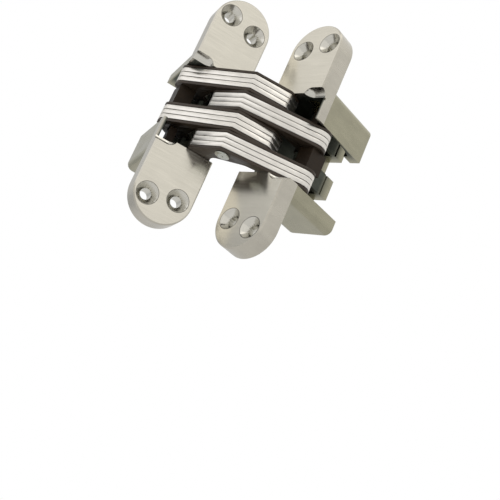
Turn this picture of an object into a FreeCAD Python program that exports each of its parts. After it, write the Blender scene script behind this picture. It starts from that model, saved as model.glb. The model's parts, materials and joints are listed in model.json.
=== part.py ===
import FreeCAD, Part
import math
import os

# Concealed door hinge: two cast leaves let into the edges of a frame and a door,
# joined by two pairs of crossing laminated links that pull the leaves together.
# Frame: X across the frame leaf's face plate, from its outer side to the side
# where the leaves fold apart, Y into the frame, Z up along the plate.
# The origin is the middle of the frame leaf's face. Lengths are millimetres.

# Face plates, stadium shaped, one at each end of a leaf's pocket
plate_length = 117.5
plate_width = 28.2
plate_thickness = 9.8
plate_edge_chamfer = 0.6

# Cast body behind the plate
leaf_depth = 42.0
body_half_height = 28.4
body_side_inset = 0.3
body_outer_corner_radius = 3.5
body_inner_corner_radius = 5.5
joint_overlap = 2.0

# Pocket for the links
stack_pitch = 10.35
pocket_end_clearance = 0.15
back_wall = 6.0
inner_wall = 2.6
outer_wall = 1.6
outer_wall_back = 3.4
outer_wall_taper_start = 29.0
outer_wall_front_recess = 4.8
pocket_side_opening_depth = 11.3
level_side_clearance = 0.12

# Windows in the back wall, measured from the outer side of the leaf
foot_window_reach = 18.2
block_window_reach = 11.0
slider_window_start = 5.2

# Rib between the slider channel and the short arm's room
rib_thickness = 2.4
rib_front_depth = 20.8
rib_step_depth = 15.8
rib_step_shift = 2.8
rib_step_thickness = 1.8
rib_step_overlap = 1.6

# Screw holes, from the outer side of the leaf and from the nearer end of the plate
screw_hole_radius = 2.6
countersink_radius = 5.1
countersink_depth = 3.0
outer_screw_across = 7.1
outer_screw_from_end = 10.75
inner_screw_across = 20.9
inner_screw_from_end = 14.15

# Linkage, closed: places across the leaf and depth behind its face
seam_gap = 0.3
centre_pivot_across = 4.75
fixed_pivot_across = 24.2
fixed_pivot_depth = 7.3
slider_across = 8.4
slider_closed_depth = 35.15

# Turn of the links from closed to the pose of this model, degrees
short_arm_turn = 77.5
long_arm_turn = 39.0
full_opening = 180.0

# Pins
pin_radius = 1.5
slider_pin_radius = 1.8
pin_running_clearance = 0.05
pin_half_length = 24.9
pin_end_clearance = 0.2
slot_half_width = 2.5
slot_half_height = 25.2
slot_front_depth = 6.0
slot_path_clearance = 0.6
slot_path_steps = 5

# Centre rivet and the hollows that its heads lie in when closed
rivet_head_radius = 3.5
rivet_head_height = 0.7
rivet_head_clearance = 0.05
hollow_radius = 4.2
hollow_reach = 5.4
hollow_drop = 1.25

# Slider blocks on the slider pin
block_half_length = 5.0
block_inner_side = 1.6
open_block_outer_side = 6.2
walled_block_outer_side = 2.2
block_end_clearance = 0.12

# Links: three bright laminations between two thin dark covers, riveted into one
cover_thickness = 1.4
lamination_thickness = 2.46
laminations = 3
joint_line_width = 0.12
joint_line_depth = 0.4

# Link outline from the centre pivot: across is away from the outer edge,
# along is towards the leaf that holds the short arm
foot_end = 41.45
foot_start = 29.4
foot_width = 16.4
foot_corner_radius = 5.5
kink_along = 2.2
kink_angle = 44.0
shank_width = 5.15
throat_top_along = -11.0
throat_bottom_along = -20.5
throat_radius = 6.0
throat_shoulder_across = 6.2
throat_shoulder_along = -28.9
waist_top_across = 8.0
waist_radius = 5.0
end_radius = 3.55
paddle_end_along = 15.05
paddle_corner_across = 16.6
paddle_corner_radius = 3.0
paddle_side_along = 9.4

pocket_half_height = 2 * stack_pitch + pocket_end_clearance
total_turn = short_arm_turn + long_arm_turn
long_arm_share = long_arm_turn / short_arm_turn
largest_short_arm_turn = full_opening / (1 + long_arm_share)
fold_axis_y = -seam_gap / 2
up = FreeCAD.Vector(0, 0, 1)


def across(distance):
    """X of a place measured across the leaf from its outer side."""
    return distance - plate_width / 2


def point(x, y, z=0.0):
    return FreeCAD.Vector(x, y, z)


def block(across_low, across_high, depth_low, depth_high, z_low, z_high):
    """Box between places across the leaf, depths and heights."""
    size = (across_high - across_low, depth_high - depth_low, z_high - z_low)
    return Part.makeBox(*size, point(across(across_low), depth_low, z_low))


def upright_cylinder(radius, centre, z_low, z_high):
    return Part.makeCylinder(radius, z_high - z_low, point(centre.x, centre.y, z_low), up)


def rounded_wire(corners):
    """Closed outline through (x, y, radius) corners, with a tangent arc where the radius isn't 0."""
    count = len(corners)
    starts = []
    ends = []
    middles = []
    for index, (x, y, radius) in enumerate(corners):
        here = point(x, y)
        if radius == 0:
            starts.append(here)
            ends.append(here)
            middles.append(here)
            continue
        before = point(*corners[index - 1][:2]) - here
        after = point(*corners[(index + 1) % count][:2]) - here
        before.normalize()
        after.normalize()
        half_angle = before.getAngle(after) / 2
        setback = radius / math.tan(half_angle)
        inward = before + after
        inward.normalize()
        centre_distance = radius / math.sin(half_angle)
        starts.append(here + before * setback)
        ends.append(here + after * setback)
        middles.append(here + inward * (centre_distance - radius))
    edges = []
    for index in range(count):
        if corners[index][2] > 0:
            edges.append(Part.Arc(starts[index], middles[index], ends[index]).toShape())
        edges.append(Part.LineSegment(ends[index], starts[(index + 1) % count]).toShape())
    return Part.Wire(edges)


def edges_in_plane(shape, depth):
    """Edges that lie at one depth."""
    tolerance = 1e-4
    found = []
    for edge in shape.Edges:
        box = edge.BoundBox
        if abs(box.YMin - depth) < tolerance and abs(box.YMax - depth) < tolerance:
            found.append(edge)
    return found


def upright_to_depth(face, depth_low, depth_high):
    """Turns an outline drawn as (across, height) into a solid between two depths."""
    solid = face.extrude(point(0, 0, depth_high - depth_low))
    solid.rotate(point(0, 0, 0), point(1, 0, 0), 90)
    solid.translate(point(across(0), depth_high, 0))
    return solid


def turned(place, centre, degrees):
    """A point turned about a vertical axis."""
    turn = FreeCAD.Rotation(up, degrees)
    return centre + turn.multVec(place - centre)


closed_centre = point(across(centre_pivot_across), fold_axis_y)
frame_pivot = point(across(fixed_pivot_across), fixed_pivot_depth)
closed_slider = point(across(slider_across), slider_closed_depth)


def other_leaf(place):
    """The matching point of the door leaf when the hinge is closed."""
    return point(place.x, 2 * fold_axis_y - place.y, -place.z)


door_pivot = other_leaf(frame_pivot)


def slider_place(short_turn):
    """Where the frame slider pin stands after the short arm has turned."""
    cross_turn = short_turn * (1 - long_arm_share)
    return turned(turned(closed_slider, closed_centre, -cross_turn), frame_pivot, short_turn)


def about(centre, degrees):
    """Turn about a vertical axis through a point."""
    return FreeCAD.Placement(point(0, 0, 0), FreeCAD.Rotation(up, degrees), centre)


frame_links_pose = about(frame_pivot, short_arm_turn)
crossing = about(closed_centre, -(short_arm_turn - long_arm_turn))
door_links_pose = frame_links_pose.multiply(crossing)
door_leaf_pose = door_links_pose.multiply(about(door_pivot, short_arm_turn))


def to_other_leaf(shape):
    """Half turn about the fold line, which makes the door side from the frame side."""
    copy = shape.copy()
    copy.rotate(point(0, fold_axis_y, 0), point(1, 0, 0), 180)
    return copy


def placed(shape, pose):
    copy = shape.copy()
    copy.Placement = pose.multiply(copy.Placement)
    return copy


def screw_places():
    """Screw holes as (across, height), two at each end."""
    places = []
    for end in (1, -1):
        places.append((outer_screw_across, end * (plate_length / 2 - outer_screw_from_end)))
        places.append((inner_screw_across, end * (plate_length / 2 - inner_screw_from_end)))
    return places


def countersunk_hole(place_across, height):
    axis = point(0, 1, 0)
    centre_x = across(place_across)
    start = point(centre_x, 0, height)
    cone = Part.makeCone(countersink_radius, screw_hole_radius, countersink_depth, start, axis)
    hole = Part.makeCylinder(screw_hole_radius, leaf_depth, start, axis)
    return cone.fuse(hole)


def face_plate():
    radius = plate_width / 2
    straight = plate_length / 2 - radius
    corners = [
        point(0, -straight), point(radius, -plate_length / 2), point(plate_width, -straight),
        point(plate_width, straight), point(radius, plate_length / 2), point(0, straight)]
    wire = Part.Wire([
        Part.Arc(corners[0], corners[1], corners[2]).toShape(),
        Part.LineSegment(corners[2], corners[3]).toShape(),
        Part.Arc(corners[3], corners[4], corners[5]).toShape(),
        Part.LineSegment(corners[5], corners[0]).toShape()])
    plate = upright_to_depth(Part.Face(wire), 0, plate_thickness)
    plate = plate.makeChamfer(plate_edge_chamfer, edges_in_plane(plate, 0))
    for place_across, height in screw_places():
        plate = plate.cut(countersunk_hole(place_across, height))
    return plate


def cast_body():
    inner_side = plate_width - body_side_inset
    corners = [
        (body_side_inset, -body_half_height, body_outer_corner_radius),
        (inner_side, -body_half_height, body_inner_corner_radius),
        (inner_side, body_half_height, body_inner_corner_radius),
        (body_side_inset, body_half_height, body_outer_corner_radius)]
    return upright_to_depth(Part.Face(rounded_wire(corners)), plate_thickness - joint_overlap, leaf_depth)


def pocket():
    """Room for the links, with its side, front and back openings."""
    low = -pocket_half_height
    high = pocket_half_height
    wall_top = -stack_pitch - level_side_clearance
    outside = -plate_edge_chamfer
    beyond_width = plate_width + plate_edge_chamfer
    beyond_back = leaf_depth + joint_overlap
    in_front = -joint_overlap
    room_back = leaf_depth - back_wall
    main_room = block(outer_wall, plate_width - inner_wall, in_front, room_back, low, high)
    side_opening = block(plate_width / 2, beyond_width, in_front, pocket_side_opening_depth, low, high)
    outer_opening = block(outside, plate_width / 4, in_front, beyond_back, wall_top, high)
    wall_recess = block(outside, plate_width / 4, in_front, outer_wall_front_recess, low, high)
    cutters = [side_opening, outer_opening, wall_recess]
    window_start = room_back - joint_overlap
    for level_low in (stack_pitch, -stack_pitch):
        z_low = level_low - level_side_clearance
        z_high = min(level_low + stack_pitch + level_side_clearance, high)
        cutters.append(block(outside, foot_window_reach, window_start, beyond_back, z_low, z_high))
    cutters.append(block(outside, block_window_reach, window_start, beyond_back, 0, stack_pitch))
    return main_room.fuse(cutters).removeSplitter()


def outer_wall_backing():
    """The walled level's outer side grows thicker towards the back."""
    wall = [
        (body_side_inset, outer_wall_taper_start), (outer_wall, outer_wall_taper_start),
        (outer_wall_back, leaf_depth - back_wall), (slider_window_start, leaf_depth),
        (body_side_inset, leaf_depth)]
    path = [point(across(place), depth) for place, depth in wall]
    face = Part.Face(Part.makePolygon(path + path[:1]))
    height = pocket_half_height - stack_pitch - level_side_clearance
    backing = face.extrude(point(0, 0, height))
    backing.translate(point(0, 0, -pocket_half_height))
    return backing


def rib(z_low, z_high):
    """Stepped rib that keeps the slider blocks in their channel."""
    side = block_window_reach
    step_side = side + rib_step_shift
    back = leaf_depth - back_wall + joint_overlap
    main = block(side, side + rib_thickness, rib_front_depth, back, z_low, z_high)
    step = block(step_side, step_side + rib_step_thickness, rib_step_depth,
                 rib_front_depth + rib_step_overlap, z_low, z_high)
    web = block(side, step_side + rib_step_thickness, rib_front_depth,
                rib_front_depth + rib_step_overlap, z_low, z_high)
    return main.fuse([step, web]).removeSplitter()


def slider_slot():
    """Straight slot for the slider pin and the hidden room that its path needs."""
    slot = block(slider_across - slot_half_width, slider_across + slot_half_width,
                 slot_front_depth, leaf_depth + joint_overlap, -slot_half_height, slot_half_height)
    offset = slider_pin_radius + slot_path_clearance
    turns = [largest_short_arm_turn * index / slot_path_steps for index in range(slot_path_steps + 1)]
    places = [slider_place(turn) for turn in turns]
    for start, end in zip(places, places[1:]):
        length = start.distanceToPoint(end) + 2 * offset
        corner = point(-offset, -offset, -slot_half_height)
        room = Part.makeBox(length, 2 * offset, 2 * slot_half_height, corner)
        room.rotate(point(0, 0), up, math.degrees(math.atan2(end.y - start.y, end.x - start.x)))
        room.translate(start)
        slot = slot.fuse(room)
    return slot.removeSplitter()


def rivet_hollow(end):
    """Ball-ended hollow at one end of the pocket for the centre rivet's head."""
    height = end * (pocket_half_height - hollow_drop)
    start = point(across(-plate_edge_chamfer), fold_axis_y, height)
    reach = hollow_reach + plate_edge_chamfer
    groove = Part.makeCylinder(hollow_radius, reach, start, point(1, 0, 0))
    ball = Part.makeSphere(hollow_radius, point(across(hollow_reach), fold_axis_y, height))
    return groove.fuse(ball)


def casting():
    leaf = face_plate().fuse(cast_body())
    leaf = leaf.cut(pocket())
    leaf = leaf.fuse(outer_wall_backing())
    clear = level_side_clearance
    leaf = leaf.fuse(rib(clear, stack_pitch - clear))
    leaf = leaf.fuse(rib(-pocket_half_height, -stack_pitch - clear))
    leaf = leaf.cut(slider_slot())
    leaf = leaf.cut(rivet_hollow(1))
    leaf = leaf.cut(rivet_hollow(-1))
    bore = upright_cylinder(
        pin_radius + pin_running_clearance, frame_pivot,
        -pin_half_length - pin_end_clearance, pin_half_length + pin_end_clearance)
    return leaf.cut(bore).removeSplitter()


def link_outline():
    """Cranked link: a hooked foot, a narrow shank beside the throat and a broad short arm."""
    edge = -centre_pivot_across
    foot_inner = edge + foot_width
    shank_inner = edge + shank_width
    slope = math.radians(kink_angle)
    paddle_start = edge + (paddle_end_along - kink_along) / math.tan(slope)
    pivot_across = fixed_pivot_across - centre_pivot_across
    pivot_along = fixed_pivot_depth - fold_axis_y
    end_side = pivot_across + end_radius
    end_bottom = pivot_along - end_radius
    corners = [
        (edge, -foot_end, foot_corner_radius),
        (edge, kink_along, 0),
        (paddle_start, paddle_end_along, paddle_corner_radius),
        (paddle_corner_across, paddle_end_along, paddle_corner_radius),
        (end_side, paddle_side_along, paddle_corner_radius),
        (end_side, end_bottom, end_radius - pin_running_clearance),
        (waist_top_across, end_bottom, waist_radius),
        (shank_inner, throat_top_along, throat_radius),
        (shank_inner, throat_bottom_along, throat_radius),
        (throat_shoulder_across, throat_shoulder_along, 0),
        (foot_inner, -foot_start, 0),
        (foot_inner, -foot_end, 0)]
    centre = closed_centre
    return [(centre.x + x, centre.y - y, radius) for x, y, radius in corners]


def joint_line(height):
    """Fine groove where two layers of a link meet, along the edges that the open hinge shows."""
    edge = -centre_pivot_across
    slope_across = (paddle_end_along - kink_along) / math.tan(math.radians(kink_angle))
    corners = [
        (edge, foot_corner_radius - foot_end), (edge, kink_along),
        (edge + slope_across, paddle_end_along), (paddle_corner_across, paddle_end_along)]
    path = [point(closed_centre.x + x, closed_centre.y - y) for x, y in corners]
    grooves = []
    for start, end in zip(path, path[1:]):
        length = start.distanceToPoint(end)
        cutter = Part.makeBox(length, 2 * joint_line_depth, joint_line_width)
        cutter.translate(point(0, -joint_line_depth, height - joint_line_width / 2))
        cutter.rotate(point(0, 0), up, math.degrees(math.atan2(end.y - start.y, end.x - start.x)))
        cutter.translate(start)
        grooves.append(cutter)
    return grooves


def link(z_low):
    """One door link in the middle of its level, drawn with the hinge closed."""
    thickness = laminations * lamination_thickness + 2 * cover_thickness
    low = z_low + (stack_pitch - thickness) / 2
    solid = Part.Face(rounded_wire(link_outline())).extrude(point(0, 0, thickness))
    solid.translate(point(0, 0, low))
    holes = (
        (closed_centre, pin_radius), (door_pivot, pin_radius), (closed_slider, slider_pin_radius))
    for centre, radius in holes:
        solid = solid.cut(upright_cylinder(radius + pin_running_clearance, centre, low, low + thickness))
    for number in range(laminations + 1):
        solid = solid.cut(joint_line(low + cover_thickness + number * lamination_thickness))
    return solid


def centre_rivet():
    """Pin with a flat head at each end."""
    head_base = 2 * stack_pitch + rivet_head_clearance
    rivet = upright_cylinder(pin_radius, closed_centre, -head_base, head_base)
    top_head = upright_cylinder(rivet_head_radius, closed_centre, head_base, head_base + rivet_head_height)
    low_head = upright_cylinder(rivet_head_radius, closed_centre, -head_base - rivet_head_height, -head_base)
    return rivet.fuse([top_head, low_head])


def fixed_pin():
    return upright_cylinder(pin_radius, frame_pivot, -pin_half_length, pin_half_length)


def slider_pin():
    return upright_cylinder(slider_pin_radius, closed_slider, -pin_half_length, pin_half_length)


def slider_block(outer_side, z_low, rounded_back):
    """Dark block that fills the channel between two long arms' feet."""
    bottom = z_low + block_end_clearance
    top = z_low + stack_pitch - block_end_clearance
    block_back = slider_closed_depth if rounded_back else slider_closed_depth + block_half_length
    solid = block(
        slider_across - outer_side, slider_across + block_inner_side,
        slider_closed_depth - block_half_length, block_back, bottom, top)
    if rounded_back:
        end = upright_cylinder(outer_side, closed_slider, bottom, top)
        side = block(0, slider_across + block_inner_side, 0, leaf_depth, bottom, top)
        solid = solid.fuse(end.common(side))
    bore = upright_cylinder(
        slider_pin_radius + pin_running_clearance, closed_slider, -pin_half_length, pin_half_length)
    return solid.cut(bore).removeSplitter()


def slider_pose():
    """The frame slider stays square to its leaf while the foot turns about its pin."""
    move = slider_place(short_arm_turn) - closed_slider
    return FreeCAD.Placement(move, FreeCAD.Rotation())


def build():
    """Every piece of the hinge in the pose of this model, by name."""
    pieces = {"frame_casting": casting(), "frame_pivot_pin": fixed_pin()}
    sliders = {
        "slider_pin": slider_pin(),
        "slider_block_open": slider_block(open_block_outer_side, 0, False),
        "slider_block_walled": slider_block(walled_block_outer_side, -2 * stack_pitch, True)}
    for name in list(pieces):
        twin = to_other_leaf(pieces[name])
        pieces[name.replace("frame", "door")] = placed(twin, door_leaf_pose)
    for name, solid in sliders.items():
        pieces["frame_" + name] = placed(solid, slider_pose())
        with_leaf = placed(to_other_leaf(placed(solid, slider_pose())), door_leaf_pose)
        pieces["door_" + name] = with_leaf
    for level, z_low in (("top", stack_pitch), ("bottom", -stack_pitch)):
        solid = link(z_low)
        pieces[f"door_link_{level}"] = placed(solid, door_links_pose)
        pieces[f"frame_link_{'bottom' if level == 'top' else 'top'}"] = placed(
            to_other_leaf(solid), frame_links_pose)
    pieces["centre_rivet"] = placed(centre_rivet(), frame_links_pose)
    return pieces


os.makedirs("parts", exist_ok=True)
for piece_name, piece_shape in build().items():
    if not piece_shape.isValid() or len(piece_shape.Solids) != 1:
        raise ValueError(f"{piece_name} is not one valid solid")
    piece_shape.Solids[0].exportStep(f"parts/{piece_name}.step")

centre_at_rest = turned(closed_centre, frame_pivot, short_arm_turn)
door_pivot_at_rest = door_links_pose.multVec(door_pivot)
frame_slider_at_rest = slider_place(short_arm_turn)
door_slider_at_rest = door_leaf_pose.multVec(other_leaf(frame_slider_at_rest))
for label, place in (
        ("frame pivot", frame_pivot), ("centre rivet", centre_at_rest), ("door pivot", door_pivot_at_rest),
        ("frame slider", frame_slider_at_rest), ("door slider", door_slider_at_rest)):
    print(f"{label}: x {place.x:.4f}, y {place.y:.4f}")
print(f"opening {total_turn:.1f}, long arm share {long_arm_share:.6f}")
print(f"short arm from {-short_arm_turn:.3f} closed to {largest_short_arm_turn - short_arm_turn:.3f} open")
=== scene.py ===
"""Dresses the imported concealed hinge: nickel castings, laminated steel links, studio and camera."""

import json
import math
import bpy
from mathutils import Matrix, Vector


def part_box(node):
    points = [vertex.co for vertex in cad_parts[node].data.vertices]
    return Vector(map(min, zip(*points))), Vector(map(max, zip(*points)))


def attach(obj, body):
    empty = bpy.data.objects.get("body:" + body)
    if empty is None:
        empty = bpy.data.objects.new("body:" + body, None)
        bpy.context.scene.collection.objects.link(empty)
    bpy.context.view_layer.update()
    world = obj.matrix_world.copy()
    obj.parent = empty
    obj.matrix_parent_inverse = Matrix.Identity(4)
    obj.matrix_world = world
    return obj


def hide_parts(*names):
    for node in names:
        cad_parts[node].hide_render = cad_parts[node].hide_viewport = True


bl_info = {
    "name": "Concealed Door Hinge",
    "version": (1, 0, 0),
    "blender": (4, 5, 0),
    "location": "View3D > Sidebar > Hinge",
    "description": "Dresses a concealed door hinge with crossing laminated links",
    "category": "Object",
}

import bmesh
import bpy
from mathutils import Matrix, Vector

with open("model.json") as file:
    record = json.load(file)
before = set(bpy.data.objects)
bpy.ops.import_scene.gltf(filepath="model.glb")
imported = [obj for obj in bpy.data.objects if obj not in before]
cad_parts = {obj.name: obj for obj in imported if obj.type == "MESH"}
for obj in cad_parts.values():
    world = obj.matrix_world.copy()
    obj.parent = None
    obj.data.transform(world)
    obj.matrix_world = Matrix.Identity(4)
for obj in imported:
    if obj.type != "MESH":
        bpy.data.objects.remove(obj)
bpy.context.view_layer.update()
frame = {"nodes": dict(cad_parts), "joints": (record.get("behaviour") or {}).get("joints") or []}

MM = 0.001
MERGE_DISTANCE = 0.002 * MM
FACE_TOLERANCE = 0.05 * MM
# Least cosine between the normal of a flat face and the way that it faces
FLAT_FACING = 0.99
# Most that a flat face folds between its triangles, and least that a body folds at its corners
FLAT_FOLD = math.radians(0.4)
CORNER_FOLD = math.radians(60)

# Size of the photograph in pixels, and width of the camera's film in millimetres
IMAGE_SIZE = 500
SENSOR_WIDTH = 36.0

# Places on a leaf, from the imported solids
PLATE_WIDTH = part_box("frame_casting")[1][0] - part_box("frame_casting")[0][0]
PLATE_THICKNESS = 9.8 * MM
LEAF_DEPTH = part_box("frame_casting")[1][1]
POCKET_HALF_HEIGHT = 20.85 * MM
BODY_END = 28 * MM
BODY_SIDE_INSET = 0.4 * MM
SCREWS = ((7.1 * MM, 48.0 * MM), (20.9 * MM, 44.6 * MM))
COUNTERSINK_RADIUS = 5.2 * MM
COUNTERSINK_EDGE = 0.2 * MM
HOLLOW_RADIUS = 4.2 * MM
HOLLOW_REACH = 5.4 * MM
HOLLOW_HEIGHT = 19.6 * MM
HOLLOW_DEPTH = -0.15 * MM
HOLLOW_TOLERANCE = 0.3 * MM

# Where the dark plating and painted shade of a pocket start and where they are full, inwards from each of
# its openings
OUTER_SHADE = (0.5 * MM, 1.3 * MM)
INNER_SHADE = (1.2 * MM, 2.2 * MM)
FRONT_SHADE = (-0.5 * MM, 3.5 * MM)
BACK_SHADE = (1.0 * MM, 8.0 * MM)
END_SHADE = (-0.5 * MM, -0.1 * MM)

# Where the door leaf stands at rest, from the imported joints
OPENING = math.radians(116.5)
DOOR_OUTWARD = Vector((-math.sin(OPENING), math.cos(OPENING), 0))
DOOR_ACROSS = Vector((math.cos(OPENING), math.sin(OPENING), 0))
JOINTS = {joint["name"]: joint for joint in frame["joints"]}
DOOR_PIVOT = Vector(JOINTS["door_short_arm_pivot"]["pos_m"])
FRAME_PIVOT = Vector(JOINTS["frame_short_arm_pivot"]["pos_m"])
CENTRE = Vector(JOINTS["link_crossing"]["pos_m"])
# The middle of the door leaf's face lies from its pivot as the frame leaf's does from its own
DOOR_FACE = DOOR_PIVOT + DOOR_OUTWARD * FRAME_PIVOT.y - DOOR_ACROSS * FRAME_PIVOT.x

LINKS = {
    "frame_links": ("frame_link_top", "frame_link_bottom"),
    "door_links": ("door_link_top", "door_link_bottom"),
}

# Nearly all of a noise lies between its low and high, and most of it between its dark and light
NOISE_LOW = 0.3
NOISE_HIGH = 0.7
NOISE_DARK = 0.38
NOISE_LIGHT = 0.62
NOISE_ROUGHNESS = 0.55

# Finishes of a casting, by the place of their material
AS_CAST = 0
BRUSHED = 1
MACHINED = 2

# Each dark card that the metal mirrors: way to it, cosines where its shade starts and is full, depth
DARK_CARDS = (
    ((0.93, -0.33, 0.10), 0.86, 0.98, 0.10),  # for the side of the door leaf
    ((0.2, 0.5, -0.84), 0.3, 0.75, 0.35),  # for the undersides
    ((-0.93, 0.35, -0.1), 0.87, 0.96, 0.75),  # for the lower face of the door leaf
    ((0.72, 0.04, -0.69), 0.985, 0.998, 0.5),  # for the lower rim of the door leaf
    ((-0.11, 0.92, 0.36), 0.85, 0.97, 0.28),  # for the outer side of the frame leaf
    ((-0.28, 0.94, -0.18), 0.93, 0.985, 0.28),  # for the lower rim of the frame leaf
)
# Linear colours and strengths of the studio's light
WHITE = (1.0, 1.0, 1.0, 1.0)
WARM_MIRRORED = (1.0, 0.985, 0.96, 1.0)
COOL_MIRRORED = (0.95, 0.965, 0.98, 1.0)
SOFT_LIGHT = (1.0, 0.99, 0.97, 1.0)
MIRRORED_STRENGTH = 0.98
SOFT_STRENGTH = 0.6
FLOOR_GLOW = 0.25
FLOOR_HALF_SIDE = 1.5
LAMP_TARGET = Vector((0.016, -0.01, 0.0))


class HingeFinishes(bpy.types.PropertyGroup):
    """Colours of the hinge's finishes."""

    nickel_face: bpy.props.StringProperty(
        name="Satin nickel face", description="Brushed nickel plating, sRGB hex", default="d8d4c8")
    nickel_rim: bpy.props.StringProperty(
        name="Nickel on the plates' rims", description="Plated and rubbed smooth, sRGB hex",
        default="bfbbb0")
    # the bodies' darker nickel is partly their cast plating and partly painted shade on their sides
    nickel_cast_and_shade: bpy.props.StringProperty(
        name="Nickel on the bodies", description="Plated as cast, sRGB hex", default="a29f8b")
    # the pocket's colour is its dark plating together with painted shade deep inside it
    pocket: bpy.props.StringProperty(
        name="Pocket", description="Dark plating inside the pocket, sRGB hex", default="565a52")
    machined: bpy.props.StringProperty(
        name="Machined nickel", description="Turned countersinks, sRGB hex", default="d2d0c8")
    ground_steel: bpy.props.StringProperty(
        name="Ground steel", description="Bright edges of the laminations, sRGB hex", default="e4e1db")
    brown_oxide: bpy.props.StringProperty(
        name="Brown oxide", description="Covers of the links, sRGB hex", default="392f25")
    block_oxide: bpy.props.StringProperty(
        name="Block oxide", description="Slider blocks, sRGB hex", default="281e13")
    pin_steel: bpy.props.StringProperty(
        name="Pin steel", description="Pins and the centre rivet, sRGB hex", default="bbbdb6")


class HingeSizes(bpy.types.PropertyGroup):
    """Sizes of the pieces that this script makes, in metres."""

    back_rounding: bpy.props.FloatProperty(
        name="Back rounding", description="Radius of a body's outer edges at its back",
        default=0.9 * MM, unit="LENGTH", precision=5)
    edge_rounding: bpy.props.FloatProperty(
        name="Edge rounding", description="Radius of a casting's other edges",
        default=0.2 * MM, unit="LENGTH", precision=5)
    cover_thickness: bpy.props.FloatProperty(
        name="Cover thickness", description="Thin dark plate on each side of a link",
        default=1.4 * MM, unit="LENGTH", precision=5)
    plate_thickness: bpy.props.FloatProperty(
        name="Lamination thickness", description="One bright plate of a link, with its gap",
        default=2.46 * MM, unit="LENGTH", precision=5)
    plate_gap: bpy.props.FloatProperty(
        name="Lamination gap", description="Dark line between two plates",
        default=0.26 * MM, unit="LENGTH", precision=5)
    plate_edge: bpy.props.FloatProperty(
        name="Plate edge", description="Rounding of a plate's edges",
        default=0.12 * MM, unit="LENGTH", precision=5)
    plates: bpy.props.IntProperty(
        name="Laminations", description="Bright plates in one link", default=3, min=1)


class StudioSettings(bpy.types.PropertyGroup):
    """Camera, floor and lamps."""

    azimuth: bpy.props.FloatProperty(
        name="Azimuth", description="Viewing direction about the upright axis, 0 looks along +Y",
        default=math.radians(-17.76), subtype="ANGLE")
    elevation: bpy.props.FloatProperty(
        name="Elevation", description="Height of the camera above the level of what it looks at",
        default=math.radians(-17.54), subtype="ANGLE")
    roll: bpy.props.FloatProperty(
        name="Roll", description="Turn of the picture about the viewing direction",
        default=math.radians(23.35), subtype="ANGLE")
    focal_pixels: bpy.props.FloatProperty(
        name="Focal length", description="Focal length in pixels of the photograph", default=991.1)
    place: bpy.props.FloatVectorProperty(
        name="Camera place", description="Where the photograph was taken from",
        default=(-83.55 * MM, -405.79 * MM, -183.07 * MM), subtype="TRANSLATION", precision=5)
    floor_depth: bpy.props.FloatProperty(
        name="Floor depth", description="How far the floor lies below the middle of the hinge",
        default=0.42, unit="LENGTH")
    key_power: bpy.props.FloatProperty(
        name="Key lamp", description="Power of the lamp above the hinge", default=1.2, unit="POWER")
    fill_power: bpy.props.FloatProperty(
        name="Fill lamp", description="Power of the lamp at the left", default=0.45, unit="POWER")


def linear(hex_colour):
    """sRGB hex to linear red, green, blue and alpha."""
    channels = [int(hex_colour[i:i + 2], 16) / 255 for i in (0, 2, 4)]
    values = [c / 12.92 if c <= 0.04045 else ((c + 0.055) / 1.055) ** 2.4 for c in channels]
    return (*values, 1.0)


def finish_colour(name):
    """Linear colour of a finish that the panel shows."""
    return linear(getattr(bpy.context.scene.hinge_finishes, name))


def dimmed(colour, share):
    """A share of a colour, no brighter than white."""
    return tuple(min(1.0, share * channel) for channel in colour[:3]) + (1.0,)


def add_node(tree, kind, settings=None, **inputs):
    """Adds a node, sets its properties, and fills each input, by name or as in0, in1 and so on."""
    node = tree.nodes.new(kind)
    for key, value in (settings or {}).items():
        setattr(node, key, value)
    for key, value in inputs.items():
        numbered = key.startswith("in") and key[2:].isdigit()
        socket = node.inputs[int(key[2:]) if numbered else key.replace("_", " ")]
        if isinstance(value, bpy.types.NodeSocket):
            tree.links.new(value, socket)
        else:
            socket.default_value = value
    return node


def new_material(name):
    """A material with an empty node tree."""
    material = bpy.data.materials.new(name)
    material.use_nodes = True
    material.node_tree.nodes.clear()
    return material, material.node_tree


def leaf_place(tree, leaf):
    """Position in a leaf's own axes: across from its middle, depth behind its face, and height."""
    place = add_node(tree, "ShaderNodeTexCoord").outputs["Object"]
    if leaf == "frame":
        return place
    # the door leaf is turned half round, so its height runs down
    flipped = Vector((DOOR_FACE.x, -DOOR_FACE.y, 0))
    flipped.rotate(Matrix.Rotation(OPENING, 3, "Z"))
    return add_node(
        tree, "ShaderNodeMapping", {}, Vector=place, Scale=(1, -1, -1), Rotation=(0, 0, OPENING),
        Location=-flipped).outputs[0]


def grain(tree, place, spacing_mm, detail):
    """Noise whose features are so many millimetres apart across, in depth and in height."""
    scale = [1 / (spacing * MM) for spacing in spacing_mm]
    mapping = add_node(tree, "ShaderNodeMapping", {}, Vector=place, Scale=scale)
    return add_node(
        tree, "ShaderNodeTexNoise", {"noise_dimensions": "3D"}, Vector=mapping.outputs[0],
        Scale=1.0, Detail=detail, Roughness=NOISE_ROUGHNESS).outputs[0]


def weighted(tree, *parts):
    """Sum of noises, each times its weight."""
    total = 0.0
    for noise, weight in parts:
        total = add_node(
            tree, "ShaderNodeMath", {"operation": "MULTIPLY_ADD"}, in0=noise, in1=weight,
            in2=total).outputs[0]
    return total


def shades(tree, tone, colour, low, high):
    """The colour, from darker to lighter as the noise rises."""
    factor = add_node(
        tree, "ShaderNodeMapRange", {}, Value=tone, From_Min=NOISE_DARK, From_Max=NOISE_LIGHT,
        To_Min=0.0, To_Max=1.0).outputs[0]
    return add_node(
        tree, "ShaderNodeMix", {"data_type": "RGBA"}, in0=factor, in6=dimmed(colour, low),
        in7=dimmed(colour, high)).outputs[2]


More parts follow.
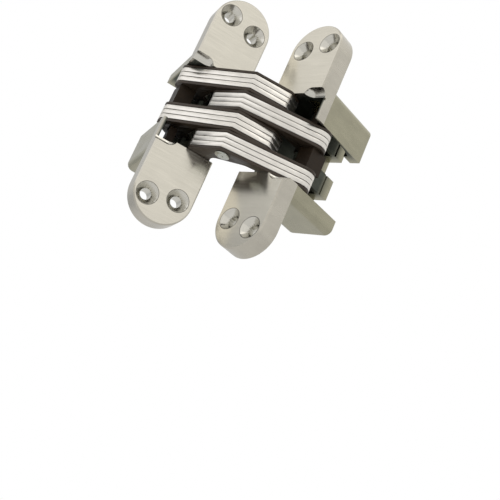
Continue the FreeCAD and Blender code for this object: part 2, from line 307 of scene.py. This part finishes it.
def pocket_depth(tree, place):
    """How deep inside the leaf's pocket a point lies, from 0 outside it to 1."""
    axes = add_node(tree, "ShaderNodeSeparateXYZ", {}, Vector=place).outputs
    height = add_node(tree, "ShaderNodeMath", {"operation": "ABSOLUTE"}, in0=axes["Z"]).outputs[0]
    half = PLATE_WIDTH / 2
    openings = (
        (axes["X"], -half, 1, OUTER_SHADE),
        (axes["X"], half, -1, INNER_SHADE),
        (axes["Y"], 0, 1, FRONT_SHADE),
        (axes["Y"], LEAF_DEPTH, -1, BACK_SHADE),
        (height, POCKET_HALF_HEIGHT, -1, END_SHADE),
    )
    deep = 1.0
    for value, opening, inwards, (start, full) in openings:
        step = add_node(
            tree, "ShaderNodeMapRange", {}, Value=value, From_Min=opening + inwards * start,
            From_Max=opening + inwards * full, To_Min=0.0, To_Max=1.0).outputs[0]
        deep = add_node(tree, "ShaderNodeMath", {"operation": "MULTIPLY"}, in0=step, in1=deep).outputs[0]
    return deep


def countersink_shade_ring(tree, place):
    """1 on a thin ring round each countersink, where a dark line of painted shade goes, and 0 elsewhere.
    """
    axes = add_node(tree, "ShaderNodeSeparateXYZ", {}, Vector=place).outputs
    height = add_node(tree, "ShaderNodeMath", {"operation": "ABSOLUTE"}, in0=axes["Z"]).outputs[0]
    spot = add_node(tree, "ShaderNodeCombineXYZ", {}, X=axes["X"], Y=height).outputs[0]
    rings = 0.0
    for across, up in SCREWS:
        middle = (across - PLATE_WIDTH / 2, up, 0)
        radius = add_node(
            tree, "ShaderNodeVectorMath", {"operation": "DISTANCE"}, in0=spot,
            in1=middle).outputs["Value"]
        ring = add_node(
            tree, "ShaderNodeMath", {"operation": "COMPARE"}, in0=radius, in1=COUNTERSINK_RADIUS,
            in2=COUNTERSINK_EDGE).outputs[0]
        rings = add_node(tree, "ShaderNodeMath", {"operation": "MAXIMUM"}, in0=ring, in1=rings).outputs[0]
    return rings


def brushed_nickel(leaf):
    """Nickel plating brushed across the leaf: fine level scratches that draw out the light."""
    material, tree = new_material(f"brushed_nickel_{leaf}")
    place = leaf_place(tree, leaf)
    # grit lines 0.1 mm apart are drawn as 0.3 mm ones so that they show
    scratches = grain(tree, place, (18, 0.3, 0.3), detail=4)
    drags = grain(tree, place, (30, 1.6, 1.6), detail=3)
    clouds = grain(tree, place, (14, 14, 9), detail=2)
    tone = weighted(tree, (scratches, 0.45), (drags, 0.3), (clouds, 0.25))
    colour = finish_colour("nickel_face")
    # a painted dark line round each countersink stands in for the shadow and dark reflection at its sharp
    # rim
    base = add_node(
        tree, "ShaderNodeMix", {"data_type": "RGBA"}, in0=countersink_shade_ring(tree, place),
        in6=shades(tree, tone, colour, low=0.88, high=1.02), in7=dimmed(colour, 0.3)).outputs[2]
    roughness = add_node(
        tree, "ShaderNodeMapRange", {}, Value=scratches, From_Min=NOISE_LOW, From_Max=NOISE_HIGH,
        To_Min=0.12, To_Max=0.24).outputs[0]
    relief = add_node(
        tree, "ShaderNodeBump", {}, Height=scratches, Distance=0.006 * MM, Strength=0.5).outputs[0]
    # the scratches run across, so highlights are drawn out along the height
    upright = add_node(tree, "ShaderNodeCombineXYZ", {}, Z=1.0).outputs[0]
    shader = add_node(
        tree, "ShaderNodeBsdfPrincipled", {}, Base_Color=base, Metallic=1.0, Roughness=roughness,
        Anisotropic=0.7, Tangent=upright, Normal=relief)
    add_node(tree, "ShaderNodeOutputMaterial", {}, Surface=shader.outputs[0])
    return material


def plated_casting(leaf):
    """Zinc casting, tumbled and nickel plated: soft, faintly pebbled, darker on the body behind the plate
    from its cast plating and painted shade, and dark deep in its pocket from dark plating and painted
    shade.
    """
    material, tree = new_material(f"plated_casting_{leaf}")
    place = leaf_place(tree, leaf)
    pebbles = grain(tree, place, (1.3, 1.3, 1.3), detail=2)
    smears = grain(tree, place, (3, 12, 3), detail=3)
    clouds = grain(tree, place, (11, 11, 11), detail=2)
    tone = weighted(tree, (pebbles, 0.1), (smears, 0.5), (clouds, 0.4))
    # the plate's rim is rubbed smoother and lighter than the body behind it, whose darker nickel is also
    # painted shade on its sides
    depth = add_node(tree, "ShaderNodeSeparateXYZ", {}, Vector=place).outputs["Y"]
    behind = add_node(
        tree, "ShaderNodeMapRange", {}, Value=depth, From_Min=PLATE_THICKNESS - 0.2 * MM,
        From_Max=PLATE_THICKNESS + 0.4 * MM, To_Min=0.0, To_Max=1.0).outputs[0]
    outside = add_node(
        tree, "ShaderNodeMix", {"data_type": "RGBA"}, in0=behind,
        in6=shades(tree, tone, finish_colour("nickel_rim"), low=0.9, high=1.0),
        in7=shades(tree, tone, finish_colour("nickel_cast_and_shade"), low=0.86, high=1.0)).outputs[2]
    # deep in the pocket the colour turns to the dark plating, which also carries painted shade
    deep = pocket_depth(tree, place)
    base = add_node(
        tree, "ShaderNodeMix", {"data_type": "RGBA"}, in0=deep, in6=outside,
        in7=shades(tree, tone, finish_colour("pocket"), low=0.6, high=1.0)).outputs[2]
    smoothness = add_node(
        tree, "ShaderNodeMapRange", {}, Value=smears, From_Min=NOISE_LOW, From_Max=NOISE_HIGH,
        To_Min=0.20, To_Max=0.30).outputs[0]
    # the pocket's walls aren't tumbled, so they stay rough
    roughness = add_node(
        tree, "ShaderNodeMath", {"operation": "MULTIPLY_ADD"}, in0=deep, in1=0.25,
        in2=smoothness).outputs[0]
    relief = add_node(
        tree, "ShaderNodeBump", {}, Height=pebbles, Distance=0.004 * MM, Strength=0.1).outputs[0]
    shader = add_node(
        tree, "ShaderNodeBsdfPrincipled", {}, Base_Color=base, Metallic=1.0, Roughness=roughness,
        Normal=relief)
    add_node(tree, "ShaderNodeOutputMaterial", {}, Surface=shader.outputs[0])
    return material


def machined_nickel(leaf):
    """Countersinks, turned after casting: almost a mirror, with faint turning lines."""
    material, tree = new_material(f"machined_nickel_{leaf}")
    place = leaf_place(tree, leaf)
    # turning lines 0.05 mm apart are drawn as 0.25 mm ones so that they show
    lines = grain(tree, place, (4, 0.25, 4), detail=2)
    roughness = add_node(
        tree, "ShaderNodeMapRange", {}, Value=lines, From_Min=NOISE_LOW, From_Max=NOISE_HIGH,
        To_Min=0.19, To_Max=0.25).outputs[0]
    shader = add_node(
        tree, "ShaderNodeBsdfPrincipled", {}, Metallic=1.0, Roughness=roughness,
        Base_Color=shades(tree, lines, finish_colour("machined"), low=0.93, high=1.0))
    add_node(tree, "ShaderNodeOutputMaterial", {}, Surface=shader.outputs[0])
    return material


def ground_steel(body):
    """Edges of blanked plates, ground and polished: nearly white, with grinding lines along the edge."""
    material, tree = new_material(f"ground_steel_{body}")
    place = add_node(tree, "ShaderNodeTexCoord").outputs["Object"]
    # grinding lines 0.05 mm apart are drawn as 0.35 mm ones so that they show
    lines = grain(tree, place, (9, 9, 0.35), detail=3)
    patches = grain(tree, place, (5, 5, 2.2), detail=3)
    tone = weighted(tree, (lines, 0.5), (patches, 0.5))
    roughness = add_node(
        tree, "ShaderNodeMapRange", {}, Value=lines, From_Min=NOISE_LOW, From_Max=NOISE_HIGH,
        To_Min=0.28, To_Max=0.40).outputs[0]
    relief = add_node(
        tree, "ShaderNodeBump", {}, Height=lines, Distance=0.004 * MM, Strength=0.4).outputs[0]
    shader = add_node(
        tree, "ShaderNodeBsdfPrincipled", {}, Metallic=1.0, Roughness=roughness, Normal=relief,
        Base_Color=shades(tree, tone, finish_colour("ground_steel"), low=0.82, high=1.02))
    add_node(tree, "ShaderNodeOutputMaterial", {}, Surface=shader.outputs[0])
    return material


def brown_oxide(name, colour_name, shine):
    """Steel strip with a brown oxide coat: dark satin, rubbed lighter in places."""
    material, tree = new_material(name)
    place = add_node(tree, "ShaderNodeTexCoord").outputs["Object"]
    streaks = grain(tree, place, (7, 7, 0.5), detail=3)
    patches = grain(tree, place, (5, 5, 5), detail=3)
    tone = weighted(tree, (streaks, 0.5), (patches, 0.5))
    roughness = add_node(
        tree, "ShaderNodeMapRange", {}, Value=streaks, From_Min=NOISE_LOW, From_Max=NOISE_HIGH,
        To_Min=0.38, To_Max=0.52).outputs[0]
    relief = add_node(
        tree, "ShaderNodeBump", {}, Height=streaks, Distance=0.008 * MM, Strength=0.4).outputs[0]
    base = shades(tree, tone, finish_colour(colour_name), low=0.75, high=1.25)
    # the oxide hides most of the steel, and only a fifth of it still shines as metal
    shader = add_node(
        tree, "ShaderNodeBsdfPrincipled", {}, Base_Color=base, Metallic=0.2, Roughness=roughness,
        Specular_IOR_Level=shine, Normal=relief)
    add_node(tree, "ShaderNodeOutputMaterial", {}, Surface=shader.outputs[0])
    return material


def bright_steel(name):
    """Drawn pin stock and upset rivet heads: clean bright steel with drawing lines."""
    material, tree = new_material(name)
    place = add_node(tree, "ShaderNodeTexCoord").outputs["Object"]
    # drawing lines 0.1 mm apart are drawn as 0.4 mm ones so that they show
    lines = grain(tree, place, (0.4, 0.4, 6), detail=2)
    roughness = add_node(
        tree, "ShaderNodeMapRange", {}, Value=lines, From_Min=NOISE_LOW, From_Max=NOISE_HIGH,
        To_Min=0.18, To_Max=0.3).outputs[0]
    relief = add_node(
        tree, "ShaderNodeBump", {}, Height=lines, Distance=0.005 * MM, Strength=0.4).outputs[0]
    shader = add_node(
        tree, "ShaderNodeBsdfPrincipled", {}, Metallic=1.0, Roughness=roughness, Normal=relief,
        Base_Color=shades(tree, lines, finish_colour("pin_steel"), low=0.85, high=1.0))
    add_node(tree, "ShaderNodeOutputMaterial", {}, Surface=shader.outputs[0])
    return material


def merged_copy(node_name):
    """The mesh of a CAD node with its loose triangles joined and flat faces whole."""
    shape = bmesh.new()
    shape.from_mesh(frame["nodes"][node_name].data)
    bmesh.ops.remove_doubles(shape, verts=shape.verts, dist=MERGE_DISTANCE)
    bmesh.ops.dissolve_limit(
        shape, angle_limit=FLAT_FOLD, use_dissolve_boundaries=False, verts=shape.verts,
        edges=shape.edges)
    return shape


def make_object(name, shape, materials=()):
    """An object from a bmesh, which it uses up."""
    mesh = bpy.data.meshes.new(name)
    shape.to_mesh(mesh)
    shape.free()
    for material in materials:
        mesh.materials.append(material)
    thing = bpy.data.objects.new(name, mesh)
    bpy.context.scene.collection.objects.link(thing)
    return thing


def shade_by_angle(mesh, degrees):
    """Smooth over gentle folds, sharp over steeper ones."""
    mesh.polygons.foreach_set("use_smooth", [True] * len(mesh.polygons))
    mesh.set_sharp_from_angle(angle=math.radians(degrees))


def soften_edges(thing, width, segments, degrees, by_weight=False, harden=False):
    """Rounds the edges that fold by more than an angle, or only those that carry a weight."""
    bevel = thing.modifiers.new("soft edges", "BEVEL")
    bevel.width = width
    bevel.segments = segments
    bevel.limit_method = "WEIGHT" if by_weight else "ANGLE"
    bevel.angle_limit = math.radians(degrees)
    bevel.harden_normals = harden


def apply_modifiers(thing):
    """Turns the object's evaluated shape into its own plain mesh."""
    graph = bpy.context.evaluated_depsgraph_get()
    mesh = bpy.data.meshes.new_from_object(thing.evaluated_get(graph))
    thing.modifiers.clear()
    old = thing.data
    thing.data = mesh
    bpy.data.meshes.remove(old)


def near_screw(across, height, reach):
    """Whether a place on a leaf lies within reach of a screw hole's middle."""
    return any(math.hypot(across - x, abs(height) - z) < reach for x, z in SCREWS)


def on_hollow(across, depth, height):
    """Whether a place lies on one of the grooves with a round end that clear the rivet's heads."""
    past_end = max(0.0, across - HOLLOW_REACH)
    radius = math.hypot(past_end, depth - HOLLOW_DEPTH, abs(height) - HOLLOW_HEIGHT)
    return abs(radius - HOLLOW_RADIUS) < HOLLOW_TOLERANCE


def casting_zone(places, facing):
    """Which finish a face of a casting has, from its corners' places on the leaf."""
    across, depth, height = (sum(values) / len(places) for values in zip(*places))
    if facing > FLAT_FACING and depth < FACE_TOLERANCE:
        return BRUSHED
    if near_screw(across, height, COUNTERSINK_RADIUS) and depth < PLATE_THICKNESS - FACE_TOLERANCE:
        return MACHINED
    if all(on_hollow(*place) for place in places):
        return MACHINED
    return AS_CAST


def on_back_edge(places):
    """Whether an edge runs round the outside of a body at its back, from its ends' places."""
    at_back = all(depth > LEAF_DEPTH - FACE_TOLERANCE for _across, depth, _height in places)
    side = PLATE_WIDTH / 2 - BODY_SIDE_INSET
    outside = all(
        abs(height) > BODY_END or abs(across - PLATE_WIDTH / 2) > side
        for across, _depth, height in places)
    return at_back and outside


class HINGE_OT_castings(bpy.types.Operator):
    """Dresses the two castings, with softened edges and a finish for each kind of surface"""

    bl_idname = "hinge.castings"
    bl_label = "Leaf castings"

    def execute(self, context):
        leaves = (
            ("frame", Vector((0, 0, 0)), Vector((1, 0, 0)), Vector((0, -1, 0))),
            ("door", DOOR_FACE, DOOR_ACROSS, DOOR_OUTWARD))
        for leaf, middle, across_axis, outward in leaves:
            self.dress(leaf, middle, across_axis, outward, context.scene.hinge_sizes)
        return {"FINISHED"}

    def dress(self, leaf, middle, across_axis, outward, size):
        """Finishes and rounds one leaf's casting, which lies along these axes."""

        def leaf_places(vertices):
            """Across from the leaf's outer side, depth behind its face, and height."""
            ends = [vertex.co - middle for vertex in vertices]
            return [
                (end.dot(across_axis) + PLATE_WIDTH / 2, -end.dot(outward), end.z) for end in ends]

        shape = merged_copy(f"{leaf}_casting")
        for face in shape.faces:
            face.material_index = casting_zone(leaf_places(face.verts), face.normal.dot(outward))
        rounded = shape.edges.layers.float.new("bevel_weight_edge")
        for edge in shape.edges:
            at_back = on_back_edge(leaf_places(edge.verts))
            if at_back and edge.is_manifold and edge.calc_face_angle() > CORNER_FOLD:
                edge[rounded] = 1
        finishes = (plated_casting(leaf), brushed_nickel(leaf), machined_nickel(leaf))
        thing = make_object(f"{leaf}_leaf_casting", shape, finishes)
        shade_by_angle(thing.data, degrees=35)
        soften_edges(thing, size.back_rounding, segments=3, degrees=35, by_weight=True)
        soften_edges(thing, size.edge_rounding, segments=2, degrees=40)
        flatten = thing.modifiers.new("flat faces stay flat", "WEIGHTED_NORMAL")
        flatten.keep_sharp = True
        apply_modifiers(thing)
        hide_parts(f"{leaf}_casting")
        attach(thing, f"{leaf}_leaf")


def stacked_plates_tree():
    """Geometry tree that thickens a flat plate and stacks copies of it."""
    tree = bpy.data.node_groups.new("stacked_plates", "GeometryNodeTree")
    sockets = tree.interface
    sockets.new_socket("Geometry", in_out="INPUT", socket_type="NodeSocketGeometry")
    for name in ("Thickness", "Pitch", "Start"):
        sockets.new_socket(name, in_out="INPUT", socket_type="NodeSocketFloat")
    sockets.new_socket("Count", in_out="INPUT", socket_type="NodeSocketInt")
    sockets.new_socket("Material", in_out="INPUT", socket_type="NodeSocketMaterial")
    sockets.new_socket("Geometry", in_out="OUTPUT", socket_type="NodeSocketGeometry")
    given = add_node(tree, "NodeGroupInput").outputs
    up = add_node(tree, "ShaderNodeCombineXYZ", {}, Z=given["Thickness"]).outputs[0]
    raised = add_node(
        tree, "GeometryNodeExtrudeMesh", {"mode": "FACES"}, Mesh=given["Geometry"], Offset=up,
        Offset_Scale=1.0, Individual=False)
    underside = add_node(tree, "GeometryNodeFlipFaces", {}, Mesh=given["Geometry"]).outputs[0]
    closed = add_node(tree, "GeometryNodeJoinGeometry")
    tree.links.new(raised.outputs["Mesh"], closed.inputs[0])
    tree.links.new(underside, closed.inputs[0])
    plate = add_node(
        tree, "GeometryNodeMergeByDistance", {}, Geometry=closed.outputs[0],
        Distance=MERGE_DISTANCE).outputs[0]
    first = add_node(tree, "ShaderNodeCombineXYZ", {}, Z=given["Start"]).outputs[0]
    step = add_node(tree, "ShaderNodeCombineXYZ", {}, Z=given["Pitch"]).outputs[0]
    line = add_node(
        tree, "GeometryNodeMeshLine", {"mode": "OFFSET"}, Count=given["Count"], Start_Location=first,
        Offset=step)
    copies = add_node(
        tree, "GeometryNodeInstanceOnPoints", {}, Points=line.outputs[0], Instance=plate).outputs[0]
    real = add_node(tree, "GeometryNodeRealizeInstances", {}, Geometry=copies).outputs[0]
    done = add_node(
        tree, "GeometryNodeSetMaterial", {}, Geometry=real, Material=given["Material"]).outputs[0]
    add_node(tree, "NodeGroupOutput", {}, in0=done)
    return tree


def set_inputs(modifier, tree, values):
    """Fills a modifier's named inputs through their identifiers."""
    for item in tree.interface.items_tree:
        if item.item_type == "SOCKET" and item.in_out == "INPUT" and item.name in values:
            modifier[item.identifier] = values[item.name]


def flat_outline(node_name):
    """The flat underside of a link, with its pin holes, laid at height 0 and facing up."""
    shape = merged_copy(node_name)
    lowest = min(vertex.co.z for vertex in shape.verts)
    away = [
        face for face in shape.faces
        if face.calc_center_median().z - lowest > FACE_TOLERANCE or abs(face.normal.z) < FLAT_FACING]
    bmesh.ops.delete(shape, geom=away, context="FACES")
    for vertex in shape.verts:
        vertex.co.z = 0
    bmesh.ops.recalc_face_normals(shape, faces=shape.faces)
    if shape.faces[:][0].normal.z < 0:
        bmesh.ops.reverse_faces(shape, faces=shape.faces)
    return shape


class HINGE_OT_links(bpy.types.Operator):
    """Makes each link of separate plates, three bright ones between two dark covers"""

    bl_idname = "hinge.links"
    bl_label = "Laminated links"

    def execute(self, context):
        size = context.scene.hinge_sizes
        tree = stacked_plates_tree()
        cover_finish = brown_oxide("brown_oxide_covers", "brown_oxide", shine=0.5)
        core = size.plates * size.plate_thickness
        half_gap = size.plate_gap / 2
        for body, nodes in LINKS.items():
            bright_finish = ground_steel(body)
            for node in nodes:
                low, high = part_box(node)
                height = high[2] - low[2]
                self.stack(node, "plates", body, tree, {
                    "Thickness": size.plate_thickness - size.plate_gap,
                    "Pitch": size.plate_thickness,
                    "Start": low[2] + (height - core) / 2 + half_gap,
                    "Count": size.plates,
                    "Material": bright_finish})
                self.stack(node, "covers", body, tree, {
                    "Thickness": size.cover_thickness - half_gap,
                    "Pitch": height - size.cover_thickness + half_gap,
                    "Start": low[2],
                    "Count": 2,
                    "Material": cover_finish})
        return {"FINISHED"}

    def stack(self, node, part, body, tree, values):
        """One link's plates or its covers."""
        thing = make_object(f"{node}_{part}", flat_outline(node))
        modifier = thing.modifiers.new("stack", "NODES")
        modifier.node_group = tree
        set_inputs(modifier, tree, values)
        edge = bpy.context.scene.hinge_sizes.plate_edge
        soften_edges(thing, edge, segments=2, degrees=50, harden=True)
        apply_modifiers(thing)
        shade_by_angle(thing.data, degrees=35)
        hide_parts(node)
        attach(thing, body)


def turned(profile, middle, segments):
    """Revolves (radius, height) points about an upright axis and closes the ends on it."""
    shape = bmesh.new()
    verts = [shape.verts.new((radius, 0, height)) for radius, height in profile]
    edges = [shape.edges.new(pair) for pair in zip(verts, verts[1:])]
    bmesh.ops.spin(
        shape, geom=verts + edges, cent=(0, 0, 0), axis=(0, 0, 1), angle=2 * math.pi,
        steps=segments, use_merge=True, use_duplicate=False)
    bmesh.ops.remove_doubles(shape, verts=shape.verts, dist=MERGE_DISTANCE)
    bmesh.ops.recalc_face_normals(shape, faces=shape.faces)
    bmesh.ops.translate(shape, verts=shape.verts, vec=(middle.x, middle.y, 0))
    return shape


class HINGE_OT_rivet(bpy.types.Operator):
    """Turns the centre rivet, with a low domed head and a punch mark at each end"""

    bl_idname = "hinge.rivet"
    bl_label = "Centre rivet"

    def execute(self, context):
        low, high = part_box("centre_rivet")
        top = high[2]
        head = (high[0] - low[0]) / 2
        seat = top - 0.7 * MM
        shank = 1.5 * MM
        # millimetres from the axis and down from the top: the punch mark and then the dome
        punched = ((0, 0.32), (0.35, 0.26), (0.75, 0.06), (0.95, 0.01), (1.2, 0), (2.3, 0.03))
        half_profile = [(radius * MM, top - drop * MM) for radius, drop in punched]
        # the dome rolls over into the head's side, which ends at the seat on the cover
        half_profile += [
            (head - 0.45 * MM, top - 0.12 * MM), (head - 0.12 * MM, top - 0.28 * MM),
            (head, top - 0.45 * MM), (head, seat), (shank, seat)]
        profile = half_profile + [(radius, -height) for radius, height in half_profile[::-1]]
        steel = bright_steel("bright_rivet_steel")
        thing = make_object("centre_rivet_turned", turned(profile, CENTRE, segments=64), (steel,))
        shade_by_angle(thing.data, degrees=40)
        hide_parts("centre_rivet")
        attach(thing, "frame_links")
        return {"FINISHED"}


class HINGE_OT_pins(bpy.types.Operator):
    """Gives the pins and the slider blocks their finishes"""

    bl_idname = "hinge.pins"
    bl_label = "Pins and slider blocks"

    def execute(self, context):
        steel = bright_steel("bright_pin_steel")
        # the blocks are unpolished, so they mirror less than the covers
        oxide = brown_oxide("brown_oxide_blocks", "block_oxide", shine=0.2)
        for name, node in frame["nodes"].items():
            if name.endswith("_pin"):
                node.data.materials.clear()
                node.data.materials.append(steel)
            if "slider_block" in name:
                node.data.materials.clear()
                node.data.materials.append(oxide)
        return {"FINISHED"}


def aim(direction, roll=0.0):
    """Rotation that looks along a direction, with the picture turned by roll."""
    return direction.to_track_quat("-Z", "Y") @ Matrix.Rotation(roll, 3, "Z").to_quaternion()


def area_lamp(name, place, side, power, colour):
    """A square lamp that shines at the middle of the hinge."""
    lamp = bpy.data.lights.new(name, "AREA")
    lamp.shape = "SQUARE"
    lamp.size = side
    lamp.energy = power
    lamp.color = linear(colour)[:3]
    holder = bpy.data.objects.new(name, lamp)
    bpy.context.scene.collection.objects.link(holder)
    holder.location = place
    holder.rotation_mode = "QUATERNION"
    holder.rotation_quaternion = aim(LAMP_TARGET - Vector(place))


class HINGE_OT_stage(bpy.types.Operator):
    """Sets up the pale studio, its lamps and the camera of the photograph"""

    bl_idname = "hinge.stage"
    bl_label = "Studio and camera"

    def execute(self, context):
        studio = context.scene.hinge_studio
        self.make_world()
        self.make_floor(studio.floor_depth)
        area_lamp(
            "key_lamp", place=(0.22, -0.31, 0.8), side=0.7, power=studio.key_power, colour="fffaf2")
        area_lamp(
            "fill_lamp", place=(-0.65, -0.15, 0.35), side=0.6, power=studio.fill_power,
            colour="f8f8ff")
        self.make_camera(studio)
        context.scene.view_settings.view_transform = "Standard"
        return {"FINISHED"}

    def make_world(self):
        """White where the camera looks, with cards where the metal mirrors it and soft light elsewhere."""
        world = bpy.data.worlds.new("studio_world")
        bpy.context.scene.world = world
        world.use_nodes = True
        tree = world.node_tree
        tree.nodes.clear()
        direction = add_node(tree, "ShaderNodeTexCoord").outputs["Generated"]
        shade = 1.0
        for place, start, full, depth in DARK_CARDS:
            toward = add_node(
                tree, "ShaderNodeVectorMath", {"operation": "DOT_PRODUCT"}, in0=direction,
                in1=Vector(place).normalized()).outputs["Value"]
            card = add_node(
                tree, "ShaderNodeMapRange", {}, Value=toward, From_Min=start, From_Max=full,
                To_Min=1.0, To_Max=1.0 - depth).outputs[0]
            shade = add_node(
                tree, "ShaderNodeMath", {"operation": "MULTIPLY"}, in0=card, in1=shade).outputs[0]
        coolness = add_node(
            tree, "ShaderNodeMapRange", {}, Value=shade, From_Min=0.5, From_Max=1.0, To_Min=1.0,
            To_Max=0.0).outputs[0]
        tint = add_node(
            tree, "ShaderNodeMix", {"data_type": "RGBA"}, in0=coolness, in6=WARM_MIRRORED,
            in7=COOL_MIRRORED).outputs[2]
        level = add_node(
            tree, "ShaderNodeMath", {"operation": "MULTIPLY"}, in0=shade,
            in1=MIRRORED_STRENGTH).outputs[0]
        mirrored = add_node(tree, "ShaderNodeBackground", {}, Color=tint, Strength=level).outputs[0]
        soft = add_node(
            tree, "ShaderNodeBackground", {}, Color=SOFT_LIGHT, Strength=SOFT_STRENGTH).outputs[0]
        seen = add_node(tree, "ShaderNodeBackground", {}, Color=WHITE, Strength=1.0).outputs[0]
        path = add_node(tree, "ShaderNodeLightPath").outputs
        to_camera = add_node(
            tree, "ShaderNodeMath", {"operation": "MAXIMUM"}, in0=path["Is Camera Ray"],
            in1=path["Is Transmission Ray"]).outputs[0]
        inner = add_node(
            tree, "ShaderNodeMixShader", {}, in0=path["Is Glossy Ray"], in1=soft,
            in2=mirrored).outputs[0]
        outer = add_node(tree, "ShaderNodeMixShader", {}, in0=to_camera, in1=inner, in2=seen).outputs[0]
        add_node(tree, "ShaderNodeOutputWorld", {}, Surface=outer)

    def make_floor(self, depth):
        """Matt white floor, well below the hinge, which is fixed in a door and stands on nothing."""
        shape = bmesh.new()
        bmesh.ops.create_grid(
            shape, x_segments=1, y_segments=1, size=FLOOR_HALF_SIDE,
            matrix=Matrix.Translation((0, 0, -depth)))
        material, tree = new_material("white_floor_paint")
        path = add_node(tree, "ShaderNodeLightPath").outputs
        seen = add_node(
            tree, "ShaderNodeMath", {"operation": "MAXIMUM"}, in0=path["Is Camera Ray"],
            in1=path["Is Glossy Ray"]).outputs[0]
        strength = add_node(
            tree, "ShaderNodeMath", {"operation": "MULTIPLY"}, in0=seen, in1=FLOOR_GLOW).outputs[0]
        glow = add_node(tree, "ShaderNodeEmission", {}, Color=WHITE, Strength=strength).outputs[0]
        paint = add_node(tree, "ShaderNodeBsdfDiffuse", {}, Color=linear("ededed")).outputs[0]
        both = add_node(tree, "ShaderNodeAddShader", {}, in0=glow, in1=paint).outputs[0]
        add_node(tree, "ShaderNodeOutputMaterial", {}, Surface=both)
        make_object("studio_floor", shape, (material,))

    def make_camera(self, studio):
        """The photograph's camera, found from the screw holes and the plates' outlines."""
        data = bpy.data.cameras.new("photo_camera")
        data.sensor_width = SENSOR_WIDTH
        data.lens = studio.focal_pixels / IMAGE_SIZE * SENSOR_WIDTH
        # the hinge is small, so the camera may have to come near it
        data.clip_start = 10 * MM
        camera = bpy.data.objects.new("photo_camera", data)
        bpy.context.scene.collection.objects.link(camera)
        level = math.cos(studio.elevation)
        direction = Vector((
            -math.sin(studio.azimuth) * level, math.cos(studio.azimuth) * level,
            -math.sin(studio.elevation)))
        camera.location = studio.place
        camera.rotation_mode = "QUATERNION"
        camera.rotation_quaternion = aim(direction, studio.roll)
        bpy.context.scene.camera = camera


class HINGE_PT_panel(bpy.types.Panel):
    """Lists the hinge's sizes, finishes and pieces"""

    bl_idname = "HINGE_PT_panel"
    bl_label = "Concealed hinge"
    bl_space_type = "VIEW_3D"
    bl_region_type = "UI"
    bl_category = "Hinge"

    def draw(self, context):
        layout = self.layout
        for name, group in GROUPS:
            box = layout.box()
            for key in group.__annotations__:
                box.prop(getattr(context.scene, name), key)
        for operator in OPERATORS:
            layout.operator(operator.bl_idname)


GROUPS = (
    ("hinge_finishes", HingeFinishes),
    ("hinge_sizes", HingeSizes),
    ("hinge_studio", StudioSettings),
)
OPERATORS = (HINGE_OT_castings, HINGE_OT_links, HINGE_OT_rivet, HINGE_OT_pins, HINGE_OT_stage)


def register():
    for name, group in GROUPS:
        bpy.utils.register_class(group)
        setattr(bpy.types.Scene, name, bpy.props.PointerProperty(type=group))
    for operator in OPERATORS:
        bpy.utils.register_class(operator)
    bpy.utils.register_class(HINGE_PT_panel)


def unregister():
    bpy.utils.unregister_class(HINGE_PT_panel)
    for operator in reversed(OPERATORS):
        bpy.utils.unregister_class(operator)
    for name, group in reversed(GROUPS):
        delattr(bpy.types.Scene, name)
        bpy.utils.unregister_class(group)


def main():
    register()
    bpy.ops.hinge.castings()
    bpy.ops.hinge.links()
    bpy.ops.hinge.rivet()
    bpy.ops.hinge.pins()
    bpy.ops.hinge.stage()


if __name__ == "__main__":
    main()
